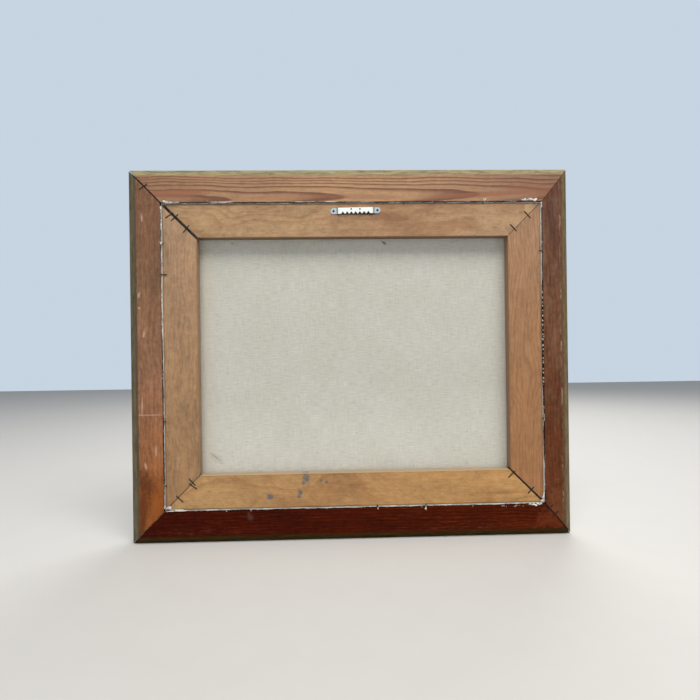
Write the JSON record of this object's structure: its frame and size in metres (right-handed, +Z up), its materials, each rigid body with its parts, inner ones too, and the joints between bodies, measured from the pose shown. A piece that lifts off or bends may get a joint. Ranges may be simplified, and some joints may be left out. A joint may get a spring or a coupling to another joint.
{
  "type": "framed stretched canvas",
  "caption": "Stretched canvas held in a mitred wooden picture frame, with a pine stretcher, stapled mitres and a sawtooth hanger on its back.",
  "frame": {"origin": "root of the middle notch of the sawtooth hanger, where a wall nail bears, in the plane of the frame's back, which meets the wall", "axes": "+Z up as it hangs, +Y away from the wall towards the painted face, +X to the right for someone looking at the back"},
  "size_m": [0.591, 0.0323, 0.4974],
  "materials": {
    "frame_top_wood": "bare pine back with a worn olive-gold chamfer, clear varnish gone dull",
    "frame_right_wood": "brown stain with a grey film, worn olive-gold chamfer",
    "frame_bottom_wood": "dark red-brown stain, dark olive chamfer",
    "frame_left_wood": "orange-brown stain with scuffs, worn olive-gold chamfer",
    "stretcher_top_pine": "bare planed pine",
    "stretcher_right_pine": "bare planed pine",
    "stretcher_bottom_pine": "bare planed pine",
    "stretcher_left_pine": "bare planed pine",
    "canvas_cloth": "raw woven back, primed and painted front",
    "hanger_zinc": "zinc-plated pressed sheet",
    "nail_steel": "dull steel",
    "staple_steel": "dull steel wire",
    "brad_steel": "dull steel wire"
  },
  "bodies": {
    "root": {"frame_rail_top": "frame_top_wood", "frame_rail_right": "frame_right_wood", "frame_rail_bottom": "frame_bottom_wood", "frame_rail_left": "frame_left_wood", "stretcher_bar_top": "stretcher_top_pine", "stretcher_bar_right": "stretcher_right_pine", "stretcher_bar_bottom": "stretcher_bottom_pine", "stretcher_bar_left": "stretcher_left_pine", "canvas": "canvas_cloth", "sawtooth_hanger": "hanger_zinc", "hanger_nail_left": "nail_steel", "hanger_nail_right": "nail_steel", "stretcher_staples_top_left": "staple_steel", "stretcher_staples_top_right": "staple_steel", "stretcher_staples_bottom_right": "staple_steel", "stretcher_staples_bottom_left": "staple_steel", "frame_staples_top_left": "staple_steel", "frame_staples_bottom_right": "staple_steel", "canvas_staples_top": "staple_steel", "canvas_staples_right": "staple_steel", "canvas_staples_bottom": "staple_steel", "canvas_staples_left": "staple_steel", "retaining_brads_top": "brad_steel", "retaining_brads_right": "brad_steel", "retaining_brads_bottom": "brad_steel", "retaining_brads_left": "brad_steel", "corner_nails_top_left": "nail_steel", "corner_nails_top_right": "nail_steel", "corner_nails_bottom_right": "nail_steel", "corner_nails_bottom_left": "nail_steel"}
  },
  "joints": []
}
